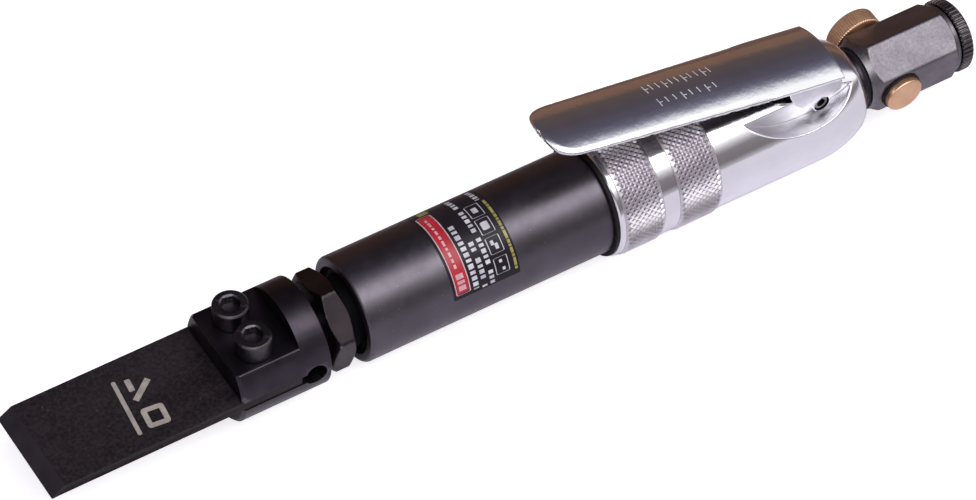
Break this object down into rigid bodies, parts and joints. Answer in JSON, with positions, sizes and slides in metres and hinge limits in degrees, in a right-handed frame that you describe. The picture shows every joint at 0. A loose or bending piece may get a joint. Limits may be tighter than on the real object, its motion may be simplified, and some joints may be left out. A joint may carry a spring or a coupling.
{
  "type": "pneumatic scraper",
  "caption": "In-line air scraper: flat blade in a clamped holder, black barrel, knurled polished handle, arched throttle lever and hexagonal inlet regulator.",
  "frame": {"origin": "centre of the air inlet's mouth, on the tool's axis", "axes": "+X along the tool's axis, out of the air inlet and away from the blade; +Z through the throttle lever"},
  "size_m": [0.295, 0.0354, 0.0554],
  "materials": {
    "blade_steel": "spring steel with a matt black oxide finish",
    "black_oxide": "turned steel with a satin black oxide finish",
    "screw_steel": "black oxide alloy steel screws",
    "bright_steel": "ground steel",
    "pin_steel": "rolled spring steel",
    "polished_steel": "bright nickel-chrome plated steel",
    "lever_chrome": "chrome plated pressed steel",
    "black_anodised": "black anodised aluminium",
    "brass": "turned brass",
    "rubber": "nitrile rubber",
    "polyurethane": "amber polyurethane",
    "black_nylon": "moulded black nylon"
  },
  "bodies": {
    "tool_body": {"barrel": "black_oxide", "gland_nut": "black_oxide", "gland_o_ring": "rubber", "front_bumper": "polyurethane", "exhaust_ring": "black_nylon", "handle_housing": "polished_steel", "valve_case": "bright_steel", "valve_cap": "bright_steel", "valve_o_ring": "rubber", "valve_dowel": "bright_steel", "lever_pin": "pin_steel", "stem_o_ring": "rubber", "throttle_spring": "bright_steel", "throttle_plug": "polished_steel", "plug_o_ring": "rubber", "inlet_bushing": "black_oxide", "bushing_washer": "rubber", "regulator_body": "black_anodised", "inlet_ring": "black_nylon", "inlet_screen": "bright_steel"},
    "chisel": {"blade_holder": "black_oxide", "scraper_blade": "blade_steel", "clamp_screws": "screw_steel", "shank_collar": "bright_steel"},
    "piston": {"hammer_piston": "bright_steel"},
    "flapper": {"valve_disc": "bright_steel"},
    "lever": {"throttle_lever": "lever_chrome"},
    "throttle": {"throttle_stem": "bright_steel", "stem_face_seal": "rubber"},
    "regulator": {"regulator_spool": "brass", "spool_button": "brass", "button_washer": "rubber", "spool_o_rings": "rubber"}
  },
  "joints": [
    {"name": "lever_hinge", "type": "hinge", "parent": "tool_body", "child": "lever", "pos_m": [-0.0539, 0, 0.0105], "axis": [0, -1, 0], "range_deg": [0, 12]},
    {"name": "throttle_slide", "type": "slide", "parent": "tool_body", "child": "throttle", "axis": [0, 0, -1], "range_m": [0, 0.0031], "deforming": ["throttle_spring"]},
    {"name": "holder_slide", "type": "slide", "parent": "tool_body", "child": "chisel", "axis": [1, 0, 0], "range_m": [0, 0.0025]},
    {"name": "piston_slide", "type": "slide", "parent": "tool_body", "child": "piston", "axis": [1, 0, 0], "range_m": [0, 0.034]},
    {"name": "flapper_slide", "type": "slide", "parent": "tool_body", "child": "flapper", "axis": [1, 0, 0], "range_m": [0, 0.0006]},
    {"name": "regulator_turn", "type": "hinge", "parent": "tool_body", "child": "regulator", "pos_m": [-0.0254, 0, 0], "axis": [0, 0.9986, 0.0523], "continuous": true}
  ],
  "couplings": [
    {"joint": "throttle_slide", "follows": "lever_hinge", "m_per_rad": 0.01445}
  ]
}
